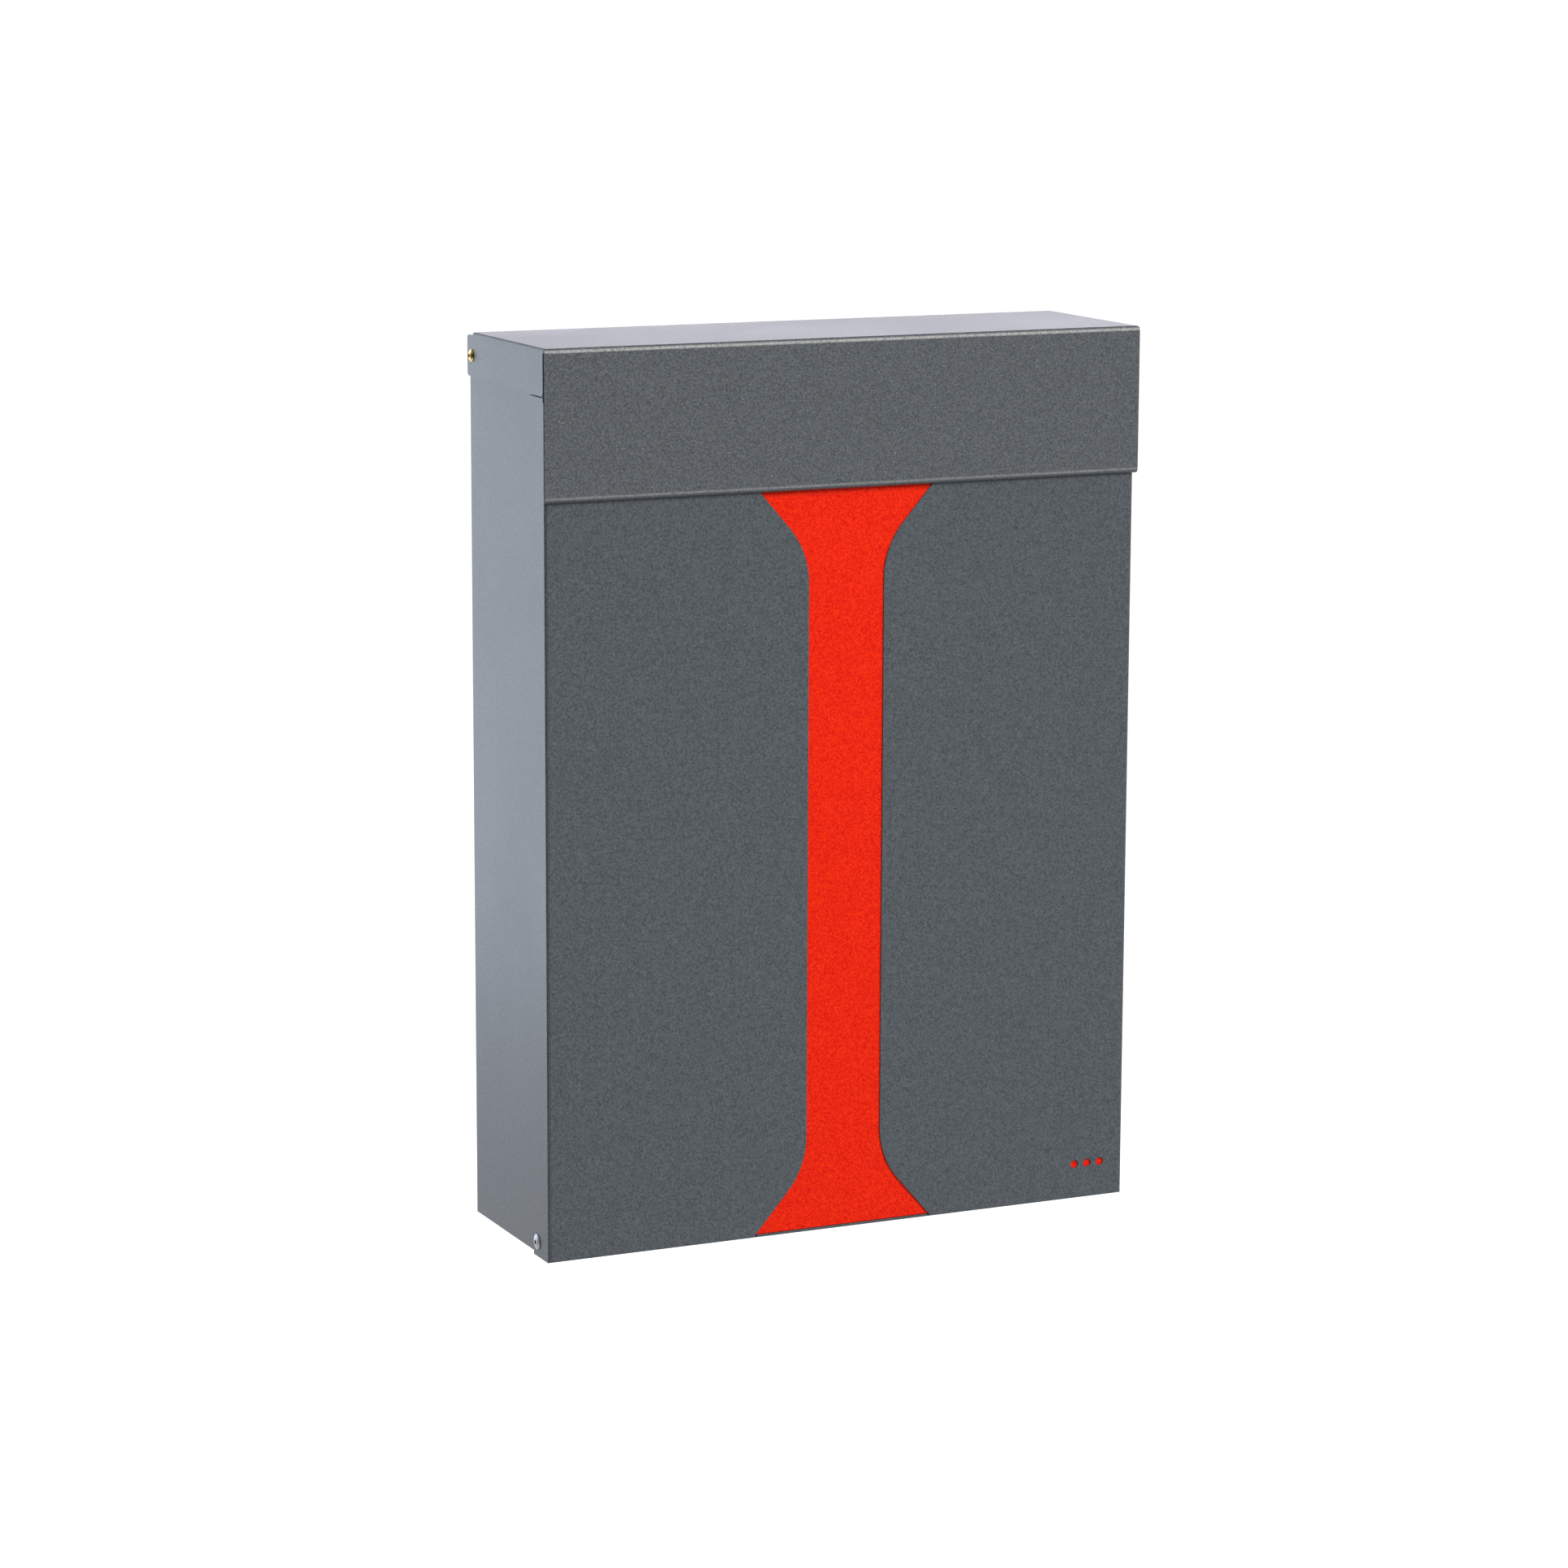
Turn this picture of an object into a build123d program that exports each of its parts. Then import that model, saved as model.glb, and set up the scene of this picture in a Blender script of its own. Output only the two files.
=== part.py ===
from build123d import *

import os
from math import cos, radians, sin, tan

# Wall letter box of folded sheet steel. Its lid swings up on two screws at the back, and its
# front door tilts forward on two rivets near the bottom. A red sheet behind the door's skin
# shows through a waisted cut-out. Millimetres, +X right, +Y to the wall, +Z up. The origin is
# on the wall, at the centre of the four fixing holes and of the box's height.

os.makedirs("parts", exist_ok=True)


# Driving sizes: sheet and overall box
sheet = 1.0
bend_inner = 1.0
bend_outer = bend_inner + sheet
overall_height = 550.0
casing_width = 388.0
casing_to_door_face = 124.0
spacer_thickness = 3.0

# Driving sizes: door
door_gap = 0.5
door_top_below_top = 29.1
door_flange_depth = 24.4
door_top_return = 7.0
door_bottom_return = 12.0
low_return_end_gap = 2.5
high_return_end_gap = 12.5
corner_notch_width = 3.0
corner_notch_height = 2.6
corner_notch_depth = 2.6
door_pivot_behind_face = 18.6
door_pivot_height = 9.0

# Driving sizes: waisted cut-out in the door's skin
waist_half_width = 25.0
waist_low_height = 60.7
waist_high_below_door_top = 117.9
flare_radius = 51.0
flare_angle = 41.0
cutout_top_below_door_top = 46.9
relief_width = 1.2
relief_depth = 2.6

# Driving sizes: three round holes low on the door's right
dot_radius = 2.6
dot_spacing = 9.0
dot_count = 3
dot_from_side = 24.8
dot_height = 22.4

# Driving sizes: red sheet behind the skin, and its studs and nuts
liner_edge_gap = 0.2
stud_radius = 2.0
stud_length = 9.0
stud_foot_radius = 2.6
stud_foot_thickness = 0.4
stud_from_side = 75.5
low_stud_height = 45.0
high_stud_below_door_top = 70.9
stud_hole_gap = 0.1
nut_across_flats = 7.0
nut_thickness = 3.2
thread_gap = 0.05

# Driving sizes: lid
cheek_gap = 1.8
flap_ahead = 3.1
flap_height = 90.6
lip_radius = 2.6
cheek_front_height = 28.1
cheek_rear_height = 26.4
cheek_front_gap = 1.4
slit_below_top = 2.6
cheek_corner_radius = 2.5
ear_rear_from_back = 4.2
ear_below_top = 1.7
plate_rear_from_back = 12.6
lid_pivot_from_back = 11.4
lid_pivot_below_top = 14.0
pad_radius = 6.0
pad_clearance = 0.3
pad_from_side = 46.8
pad_above_lip = 15.0

# Driving sizes: casing, floor tray and cross rail
casing_bottom_above_door = 1.2
casing_behind_liner = 2.0
front_flange_width = 10.0
casing_foot_cut = 4.0
side_below_top = 4.0
side_corner_radius = 4.0
back_below_top = 21.0
tray_height = 12.0
tray_floor_bend = 1.75
tray_behind_door_pivot = 11.4
drain_radius = 3.0
drain_from_side = 73.0
drain_from_end = 21.5
rail_behind_liner = 6.0
rail_depth = 11.5
rail_height = 12.0
rail_below_door_top = 0.4
rail_tab_height = 9.0
rail_tab_gap = 0.5

# Driving sizes: wall fixing
fixing_radius = 3.5
fixing_from_side = 44.0
fixing_from_end = 75.0
spacer_radius = 10.0
spacer_edge_round = 0.5

# Driving sizes: lid screws, washers and nuts
turn_gap = 0.05
end_play = 0.1
screw_radius = 2.0
screw_head_radius = 3.85
screw_head_height = 1.8
screw_head_rim = 0.3
screw_socket_flats = 2.5
screw_socket_depth = 1.2
screw_past_nut = 1.0
washer_radius = 5.0

# Driving sizes: door rivets and washers
rivet_radius = 2.4
rivet_head_radius = 4.75
rivet_head_height = 1.4
rivet_head_rim = 0.35
rivet_hole_radius = 1.35
rivet_bulb_radius = 3.6
rivet_bulb_length = 5.0
rivet_bulb_round = 1.6

# Driving sizes: cam lock
lock_below_door_top = 25.9
lock_barrel_radius = 8.0
lock_barrel_flats = 14.0
lock_bezel_radius = 10.5
lock_bezel_height = 1.4
lock_bezel_round = 0.7
lock_barrel_length = 20.0
lock_hole_gap = 0.1
lock_nut_flats = 19.0
lock_nut_thickness = 3.0
plug_radius = 5.5
plug_head_radius = 6.8
plug_head_thickness = 0.9
plug_face_set_in = 0.2
keyway_width = 1.6
keyway_length = 7.0
keyway_depth = 6.0
square_size = 6.5
cam_thickness = 2.0
cam_gap = 0.2
cam_width = 12.0
cam_reach = 24.0
cam_corner_radius = 3.0
square_gap = 0.05
cam_screw_head_radius = 5.5
cam_screw_head_height = 2.0
cam_screw_head_round = 1.0
cam_screw_radius = 1.5
cam_screw_length = 6.0

# Widths and planes that follow
half_casing = casing_width / 2
half_inside = half_casing - sheet
half_door = half_casing + door_gap + sheet
half_door_inside = half_door - sheet
half_lid = half_casing + cheek_gap + sheet
half_lid_inside = half_lid - sheet
top = overall_height / 2
bottom = -top
back = -spacer_thickness
door_face = back - casing_to_door_face
liner_front = door_face + sheet
liner_back = liner_front + sheet
flap_face = door_face - flap_ahead
casing_front = liner_back + casing_behind_liner
door_top = top - door_top_below_top
door_pivot_y = door_face + door_pivot_behind_face
door_pivot_z = bottom + door_pivot_height
lid_pivot_y = back - lid_pivot_from_back
lid_pivot_z = top - lid_pivot_below_top
casing_bottom = bottom + casing_bottom_above_door
side_top = top - side_below_top
back_top = top - back_below_top
cheek_bottom = top - cheek_front_height
cheek_rear_bottom = top - cheek_rear_height
lock_z = door_top - lock_below_door_top
fixing_spacing_x = casing_width - 2 * fixing_from_side
fixing_spacing_z = overall_height - 2 * fixing_from_end


def save(part, name):
    """Labels a finished piece and writes it."""
    part.label = name
    export_step(part, f"parts/{name}.step")


def double_flat(y, radius, flats):
    """A circle about the lock's axis with two flats, left and right, at a depth in the box."""
    with BuildSketch(Plane.XZ.offset(-y)) as outline:
        with Locations((0, lock_z)):
            Circle(radius)
            Rectangle(flats, 2 * radius, mode=Mode.INTERSECT)
    return outline.sketch


def bar(side, x_from, x_to, radius, y, z, mode=Mode.ADD):
    """A round bar along X on one side of the box."""
    with BuildSketch(Plane.YZ.offset(side * x_from)) as disc:
        with Locations((y, z)):
            Circle(radius)
    extrude(disc.sketch, amount=side * (x_to - x_from), mode=mode)


def domed_head(side, x_from, radius, rim, height, y, z):
    """A head on one side of the box: a thin straight rim under a shallow dome, turned about X."""
    crown = (side * (x_from + height), y)
    edge = (side * (x_from + rim), y + radius)
    with BuildSketch(Plane.XY.offset(z)) as half:
        with BuildLine():
            Polyline(crown, (side * x_from, y), (side * x_from, y + radius), edge)
            TangentArc(crown, edge, tangent=(0, 1))
        make_face()
    revolve(half.sketch, axis=Axis((0, y, z), (1, 0, 0)))


# Casing: back and two sides folded from one sheet, with narrow flanges turned in at the front
with BuildPart() as casing:
    with BuildSketch(Plane.XY.offset(casing_bottom)):
        with Locations((0, (casing_front + back) / 2)):
            Rectangle(casing_width, back - casing_front)
        fillet(vertices(), bend_outer)
        with BuildSketch(mode=Mode.SUBTRACT):
            with Locations((0, (casing_front + back) / 2)):
                Rectangle(2 * half_inside, back - casing_front - 2 * sheet)
            fillet(vertices(), bend_inner)
        with Locations((0, casing_front)):
            Rectangle(casing_width - 2 * front_flange_width, 2 * bend_outer, mode=Mode.SUBTRACT)
    extrude(amount=side_top - casing_bottom)
    # Seen from the side, the top rear corner is rounded and steps down to the back, so that the lid
    # can swing over it, and the lower front corner is cut off for the door's sheets
    side_rear = back - bend_outer
    with BuildSketch(Plane.YZ):
        with BuildLine():
            Polyline(
                (casing_front, side_top),
                (casing_front, casing_bottom + casing_foot_cut),
                (casing_front + casing_foot_cut, casing_bottom),
                (back, casing_bottom),
                (back, back_top),
                (side_rear, back_top),
                (side_rear, side_top),
                close=True,
            )
        make_face()
        fillet(vertices().filter_by(
            lambda corner: corner.Y > side_top - sheet and corner.X > side_rear - sheet),
            side_corner_radius)
    extrude(amount=half_casing, both=True, mode=Mode.INTERSECT)
    # Fixing holes in the back
    with BuildSketch(Plane.XZ):
        with GridLocations(fixing_spacing_x, fixing_spacing_z, 2, 2):
            Circle(fixing_radius)
    extrude(amount=spacer_thickness + 2 * sheet, mode=Mode.SUBTRACT)
    # Holes for the lid's screws and the door's rivets
    for side in (-1, 1):
        bar(side, half_inside - sheet, half_casing + sheet, screw_radius + turn_gap,
            lid_pivot_y, lid_pivot_z, Mode.SUBTRACT)
        bar(side, half_inside - sheet, half_casing + sheet, rivet_radius + turn_gap,
            door_pivot_y, door_pivot_z, Mode.SUBTRACT)
save(casing.part, "casing")

# Floor tray: turned up on all four sides and welded between the casing's sides and back
tray_front = door_pivot_y + tray_behind_door_pivot
tray_depth = back - sheet - tray_front
with BuildPart() as floor_tray:
    with BuildSketch(Plane.XY.offset(casing_bottom)):
        with Locations((0, tray_front + tray_depth / 2)):
            Rectangle(2 * half_inside, tray_depth)
        fillet(vertices(), bend_outer)
    extrude(amount=tray_height)
    fillet(floor_tray.faces().sort_by(Axis.Z)[0].edges(), tray_floor_bend)
    offset(amount=-sheet, openings=floor_tray.faces().sort_by(Axis.Z)[-1])
    with BuildSketch(Plane.XY.offset(casing_bottom)):
        with Locations((0, tray_front + tray_depth / 2)):
            with GridLocations(2 * (half_inside - drain_from_side),
                               tray_depth - 2 * drain_from_end, 2, 2):
                Circle(drain_radius)
    extrude(amount=sheet, mode=Mode.SUBTRACT)
save(floor_tray.part, "floor_tray")

# Cross rail: a channel open below, between the casing's sides behind the door's top edge
rail_front = liner_back + rail_behind_liner
rail_back = rail_front + rail_depth
rail_top = door_top - rail_below_door_top
rail_middle = (rail_front + rail_back) / 2
with BuildPart() as cross_rail:
    with BuildSketch(Plane.YZ):
        with Locations((rail_middle, rail_top - rail_height / 2)):
            Rectangle(rail_depth, rail_height)
        fillet(vertices().group_by(Axis.Y)[-1], bend_outer)
        with BuildSketch(mode=Mode.SUBTRACT):
            with Locations((rail_middle, rail_top - sheet - rail_height / 2)):
                Rectangle(rail_depth - 2 * sheet, rail_height)
            fillet(vertices().group_by(Axis.Y)[-1], bend_inner)
    extrude(amount=half_inside, both=True)
    # Tabs turned down at both ends, against the casing's sides
    for side in (-1, 1):
        with BuildSketch(Plane.YZ.offset(side * (half_inside - sheet))):
            with Locations((rail_middle, rail_top - rail_tab_height / 2)):
                Rectangle(rail_depth - 2 * sheet - 2 * rail_tab_gap, rail_tab_height)
        extrude(amount=side * sheet)
save(cross_rail.part, "cross_rail")

# Spacers that hold the box off the wall, so that the lid's ears have room to swing
with BuildPart() as wall_spacers:
    with BuildSketch(Plane.XZ.offset(-back)):
        with GridLocations(fixing_spacing_x, fixing_spacing_z, 2, 2):
            Circle(spacer_radius)
            Circle(fixing_radius, mode=Mode.SUBTRACT)
    extrude(amount=-spacer_thickness)
    fillet(wall_spacers.edges().filter_by(GeomType.CIRCLE).filter_by(
        lambda edge: edge.radius == spacer_radius), spacer_edge_round)
save(wall_spacers.part, "wall_spacers")

# Door skin: a shallow pan folded back on all four sides
with BuildPart() as door_skin:
    with BuildSketch(Plane.XZ.offset(-door_face)):
        with Locations((0, (bottom + door_top) / 2)):
            Rectangle(2 * half_door, door_top - bottom)
    extrude(amount=-door_flange_depth)
    fillet(door_skin.faces().sort_by(Axis.Y)[0].edges(), bend_outer)
    offset(amount=-sheet, openings=door_skin.faces().sort_by(Axis.Y)[-1])
    # The lower and upper returns are shallower than the side flanges, and end short of them
    for height, depth, end_gap in ((bottom, door_bottom_return, low_return_end_gap),
                                   (door_top, door_top_return, high_return_end_gap)):
        with BuildSketch(Plane.XY.offset(height - bend_outer)):
            with Locations((0, door_face + depth + door_flange_depth)):
                Rectangle(2 * half_door_inside, 2 * door_flange_depth)
            for side in (-1, 1):
                with Locations((side * (half_door_inside - end_gap / 2),
                                liner_back + door_flange_depth)):
                    Rectangle(end_gap, 2 * door_flange_depth)
        extrude(amount=2 * bend_outer, mode=Mode.SUBTRACT)
    # Notches at the top corners, where three folds meet
    with BuildSketch(Plane.XZ.offset(-door_face)):
        for side in (-1, 1):
            with Locations((side * half_door, door_top)):
                Rectangle(2 * corner_notch_width, 2 * corner_notch_height)
    extrude(amount=-corner_notch_depth, mode=Mode.SUBTRACT)
    # Waisted cut-out: straight in the middle, flared by an arc and a slope at both ends
    reach = flare_radius * (1 - cos(radians(flare_angle)))
    rise = flare_radius * sin(radians(flare_angle))
    slope = tan(radians(flare_angle))
    cutout_bottom = bottom + bend_outer
    cutout_top = door_top - cutout_top_below_door_top
    waist_low = bottom + waist_low_height
    waist_high = door_top - waist_high_below_door_top
    low_half_width = waist_half_width + reach + (waist_low - rise - cutout_bottom) * slope
    high_half_width = waist_half_width + reach + (cutout_top - waist_high - rise) * slope
    with BuildSketch(Plane.XZ.offset(-door_face)):
        with BuildLine():
            Line((0, cutout_bottom), (low_half_width, cutout_bottom))
            Line((low_half_width, cutout_bottom), (waist_half_width + reach, waist_low - rise))
            CenterArc((waist_half_width + flare_radius, waist_low), flare_radius, 180, flare_angle)
            Line((waist_half_width, waist_low), (waist_half_width, waist_high))
            CenterArc((waist_half_width + flare_radius, waist_high), flare_radius,
                      180 - flare_angle, flare_angle)
            Line((waist_half_width + reach, waist_high + rise), (high_half_width, cutout_top))
            Line((high_half_width, cutout_top), (0, cutout_top))
            mirror(about=Plane.YZ)
        make_face()
    extrude(amount=-sheet, mode=Mode.SUBTRACT)
    # Reliefs through the lower bend, at both ends of the cut-out
    with BuildSketch(Plane.XZ.offset(-door_face)):
        for side in (-1, 1):
            with Locations((side * (low_half_width - relief_width / 2), bottom)):
                Rectangle(relief_width, 2 * bend_outer)
    extrude(amount=-relief_depth, mode=Mode.SUBTRACT)
    # Three round holes low on the right
    with BuildSketch(Plane.XZ.offset(-door_face)):
        with Locations((half_door - dot_from_side, bottom + dot_height)):
            with GridLocations(dot_spacing, dot_spacing, dot_count, 1):
                Circle(dot_radius)
    extrude(amount=-sheet, mode=Mode.SUBTRACT)
    # Hole for the lock
    lock_hole = double_flat(door_face, lock_barrel_radius + lock_hole_gap,
                            lock_barrel_flats + 2 * lock_hole_gap)
    extrude(lock_hole, amount=-sheet, mode=Mode.SUBTRACT)
    # Holes for the door's rivets in the side flanges
    for side in (-1, 1):
        bar(side, half_door_inside - sheet, half_door + sheet, rivet_radius + turn_gap,
            door_pivot_y, door_pivot_z, Mode.SUBTRACT)
save(door_skin.part, "door_skin")

# Red sheet: flat against the skin's inside, clear of the pan's bends
liner_half_width = half_door - bend_outer - liner_edge_gap
liner_bottom = bottom + bend_outer + liner_edge_gap
liner_top = door_top - bend_outer - liner_edge_gap
stud_x = half_door - stud_from_side
low_row = bottom + low_stud_height
high_row = door_top - high_stud_below_door_top
stud_rows = (low_row, (low_row + high_row) / 2, high_row)
stud_places = [(side * stud_x, row) for row in stud_rows for side in (-1, 1)]
with BuildPart() as door_liner:
    with BuildSketch(Plane.XZ.offset(-liner_front)):
        with Locations((0, (liner_bottom + liner_top) / 2)):
            Rectangle(2 * liner_half_width, liner_top - liner_bottom)
        with Locations(*stud_places):
            Circle(stud_foot_radius + stud_hole_gap, mode=Mode.SUBTRACT)
    extrude(amount=-sheet)
    lock_hole = double_flat(liner_front, lock_barrel_radius + lock_hole_gap,
                            lock_barrel_flats + 2 * lock_hole_gap)
    extrude(lock_hole, amount=-sheet, mode=Mode.SUBTRACT)
save(door_liner.part, "door_liner")

# Studs welded to the skin's inside, and the nuts that clamp the red sheet on them
with BuildPart() as liner_studs:
    with BuildSketch(Plane.XZ.offset(-liner_front)):
        with Locations(*stud_places):
            Circle(stud_foot_radius)
    extrude(amount=-stud_foot_thickness)
    with BuildSketch(Plane.XZ.offset(-liner_front)):
        with Locations(*stud_places):
            Circle(stud_radius)
    extrude(amount=-stud_length)
save(liner_studs.part, "liner_studs")

with BuildPart() as liner_nuts:
    with BuildSketch(Plane.XZ.offset(-liner_back)):
        with Locations(*stud_places):
            RegularPolygon(nut_across_flats / 2, 6, major_radius=False)
            Circle(stud_radius + thread_gap, mode=Mode.SUBTRACT)
    extrude(amount=-nut_thickness)
save(liner_nuts.part, "liner_nuts")

# Lid: top plate, front flap with a rounded lip below, and a cheek with an ear on each side
flap_back = flap_face + sheet
flap_bottom = top - flap_height
cheek_front = flap_back + cheek_front_gap
ear_rear = back - ear_rear_from_back
ear_top = top - ear_below_top
plate_rear = back - plate_rear_from_back
flap_middle = flap_face + sheet / 2
lip_z = flap_bottom + lip_radius
with BuildPart() as lid:
    with BuildSketch(Plane.XY.offset(cheek_bottom)):
        with Locations((0, flap_face)):
            Rectangle(2 * half_lid, ear_rear - flap_face, align=(Align.CENTER, Align.MIN))
    extrude(amount=cheek_front_height)
    fillet(lid.faces().sort_by(Axis.Z)[-1].edges().sort_by(Axis.Y)[:-1], bend_outer)
    offset(amount=-sheet, openings=[lid.faces().sort_by(Axis.Z)[0], lid.faces().sort_by(Axis.Y)[-1]])
    # The plate ends ahead of the ears, whose top edges lie a little lower
    with BuildSketch(Plane.YZ):
        with Locations((plate_rear, ear_top)):
            Rectangle(cheek_front_height, cheek_front_height, align=(Align.MIN, Align.MIN))
    extrude(amount=half_lid, both=True, mode=Mode.SUBTRACT)
    # The cheeks' lower edges rise a little to the rear
    with BuildSketch(Plane.YZ):
        with BuildLine():
            Polyline((cheek_front, cheek_bottom), (ear_rear, cheek_rear_bottom),
                     (ear_rear, cheek_bottom), close=True)
        make_face()
    extrude(amount=half_lid, both=True, mode=Mode.SUBTRACT)
    # A slit parts each cheek from the flap, up to a little below the corner
    with BuildSketch(Plane.YZ):
        with Locations((flap_back, cheek_bottom)):
            Rectangle(cheek_front_gap, cheek_front_height - slit_below_top,
                      align=(Align.MIN, Align.MIN))
    extrude(amount=half_lid, both=True, mode=Mode.SUBTRACT)
    cheek_corners = lid.edges().filter_by(Axis.X).filter_by(lambda edge: edge.center().Y >= cheek_front)
    fillet(cheek_corners.filter_by(lambda edge: edge.center().Z < cheek_rear_bottom + sheet),
           cheek_corner_radius)
    fillet(lid.edges().filter_by(Axis.X).group_by(Axis.Y)[-1], cheek_corner_radius)
    # Lower part of the flap, seen from the side: its lip is a quarter round turned in to the door
    with BuildSketch(Plane.YZ):
        with BuildLine():
            Line((flap_middle, cheek_bottom), (flap_middle, lip_z))
            CenterArc((flap_face + lip_radius, lip_z), lip_radius - sheet / 2, 180, 90)
        trace(line_width=sheet)
    extrude(amount=half_lid, both=True)
    for side in (-1, 1):
        bar(side, half_lid_inside - sheet, half_lid + sheet, screw_radius + turn_gap,
            lid_pivot_y, lid_pivot_z, Mode.SUBTRACT)
save(lid.part, "lid")

# Rubber pads on the flap's inside, which meet the door's skin
pad_x = half_lid - pad_from_side
pad_z = lip_z + pad_above_lip + pad_radius
with BuildPart() as flap_pads:
    with BuildSketch(Plane.XZ.offset(-flap_back)):
        with Locations((-pad_x, pad_z), (pad_x, pad_z)):
            Circle(pad_radius)
    extrude(amount=-(door_face - pad_clearance - flap_back))
save(flap_pads.part, "flap_pads")

# Lid screws, with their washers and nuts
washer_thickness = cheek_gap - 2 * end_play
nut_end = half_inside - nut_thickness
screw_end = half_lid + end_play + screw_head_height
for side, word in ((-1, "left"), (1, "right")):
    with BuildPart() as lid_screw:
        bar(side, nut_end - screw_past_nut, half_lid + end_play, screw_radius,
            lid_pivot_y, lid_pivot_z)
        domed_head(side, half_lid + end_play, screw_head_radius, screw_head_rim,
                   screw_head_height, lid_pivot_y, lid_pivot_z)
        with BuildSketch(Plane.YZ.offset(side * screw_end)) as hexagon:
            with Locations((lid_pivot_y, lid_pivot_z)):
                RegularPolygon(screw_socket_flats / 2, 6, major_radius=False)
        extrude(hexagon.sketch, amount=-side * screw_socket_depth, mode=Mode.SUBTRACT)
    save(lid_screw.part, f"lid_screw_{word}")

    with BuildPart() as lid_washer:
        bar(side, half_casing, half_casing + washer_thickness, washer_radius,
            lid_pivot_y, lid_pivot_z)
        bar(side, half_casing, half_casing + washer_thickness, screw_radius + turn_gap,
            lid_pivot_y, lid_pivot_z, Mode.SUBTRACT)
    save(lid_washer.part, f"lid_washer_{word}")

    with BuildPart() as lid_nut:
        with BuildSketch(Plane.YZ.offset(side * nut_end)) as hexagon:
            with Locations((lid_pivot_y, lid_pivot_z)):
                RegularPolygon(nut_across_flats / 2, 6, major_radius=False)
                Circle(screw_radius + thread_gap, mode=Mode.SUBTRACT)
        extrude(hexagon.sketch, amount=side * nut_thickness)
    save(lid_nut.part, f"lid_nut_{word}")

# Door rivets: a domed head outside the flange, a bulb inside the casing, and a thin washer between
rivet_end = half_door + end_play + rivet_head_height
for side, word in ((-1, "left"), (1, "right")):
    outward = Axis((0, 0, 0), (side, 0, 0))
    with BuildPart() as door_rivet:
        bar(side, half_inside - rivet_bulb_length, half_inside, rivet_bulb_radius,
            door_pivot_y, door_pivot_z)
        bar(side, half_inside, half_door + end_play, rivet_radius, door_pivot_y, door_pivot_z)
        domed_head(side, half_door + end_play, rivet_head_radius, rivet_head_rim,
                   rivet_head_height, door_pivot_y, door_pivot_z)
        fillet(door_rivet.faces().sort_by(outward)[0].edges(), rivet_bulb_round)
        bar(side, half_inside, rivet_end, rivet_hole_radius, door_pivot_y, door_pivot_z,
            Mode.SUBTRACT)
    save(door_rivet.part, f"door_rivet_{word}")

    with BuildPart() as door_washer:
        bar(side, half_casing, half_door_inside - end_play, washer_radius,
            door_pivot_y, door_pivot_z)
        bar(side, half_casing, half_door_inside - end_play, rivet_radius + turn_gap,
            door_pivot_y, door_pivot_z, Mode.SUBTRACT)
    save(door_washer.part, f"door_washer_{word}")

# Cam lock housing: a round bezel on the skin and a barrel with two flats, bored for the plug
bezel_front = door_face - lock_bezel_height
barrel_back = door_face + lock_barrel_length
plug_front = bezel_front + plug_face_set_in
plug_head_back = plug_front + plug_head_thickness
with BuildPart() as lock_housing:
    with BuildSketch(Plane.XZ.offset(-bezel_front)):
        with Locations((0, lock_z)):
            Circle(lock_bezel_radius)
    extrude(amount=-lock_bezel_height)
    fillet(lock_housing.faces().sort_by(Axis.Y)[0].edges(), lock_bezel_round)
    extrude(double_flat(door_face, lock_barrel_radius, lock_barrel_flats),
            amount=-lock_barrel_length)
    with BuildSketch(Plane.XZ.offset(-bezel_front)):
        with Locations((0, lock_z)):
            Circle(plug_radius + turn_gap)
    extrude(amount=-(barrel_back - bezel_front), mode=Mode.SUBTRACT)
    with BuildSketch(Plane.XZ.offset(-bezel_front)):
        with Locations((0, lock_z)):
            Circle(plug_head_radius + turn_gap)
    extrude(amount=-(plug_head_back + turn_gap - bezel_front), mode=Mode.SUBTRACT)
save(lock_housing.part, "lock_housing")

with BuildPart() as lock_nut:
    with BuildSketch(Plane.XZ.offset(-liner_back)):
        with Locations((0, lock_z)):
            RegularPolygon(lock_nut_flats / 2, 6, major_radius=False)
            Circle(lock_barrel_radius + thread_gap, mode=Mode.SUBTRACT)
    extrude(amount=-lock_nut_thickness)
save(lock_nut.part, "lock_nut")

# Lock plug: a headed cylinder with a key slot in front and a square behind, tapped for a screw
cam_front = barrel_back + cam_gap
cam_back = cam_front + cam_thickness
with BuildPart() as lock_plug:
    with BuildSketch(Plane.XZ.offset(-plug_front)):
        with Locations((0, lock_z)):
            Circle(plug_head_radius)
    extrude(amount=-plug_head_thickness)
    with BuildSketch(Plane.XZ.offset(-plug_head_back)):
        with Locations((0, lock_z)):
            Circle(plug_radius)
    extrude(amount=-(cam_front - plug_head_back))
    with BuildSketch(Plane.XZ.offset(-cam_front)):
        with Locations((0, lock_z)):
            Rectangle(square_size, square_size)
    extrude(amount=-cam_thickness)
    with BuildSketch(Plane.XZ.offset(-plug_front)):
        with Locations((0, lock_z)):
            Rectangle(keyway_width, keyway_length)
    extrude(amount=-keyway_depth, mode=Mode.SUBTRACT)
    with BuildSketch(Plane.XZ.offset(-cam_back)):
        with Locations((0, lock_z)):
            Circle(cam_screw_radius + thread_gap)
    extrude(amount=cam_screw_length, mode=Mode.SUBTRACT)
save(lock_plug.part, "lock_plug")

# Cam: a flat lever on the plug's square, pointing left while the door is free to open
with BuildPart() as lock_cam:
    with BuildSketch(Plane.XZ.offset(-cam_front)):
        with Locations((0, lock_z)):
            Circle(cam_width / 2)
        with Locations((-cam_reach / 2, lock_z)):
            Rectangle(cam_reach, cam_width)
        fillet(vertices().group_by(Axis.X)[0], cam_corner_radius)
        with Locations((0, lock_z)):
            Rectangle(square_size + 2 * square_gap, square_size + 2 * square_gap,
                      mode=Mode.SUBTRACT)
    extrude(amount=-cam_thickness)
save(lock_cam.part, "lock_cam")

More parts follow.
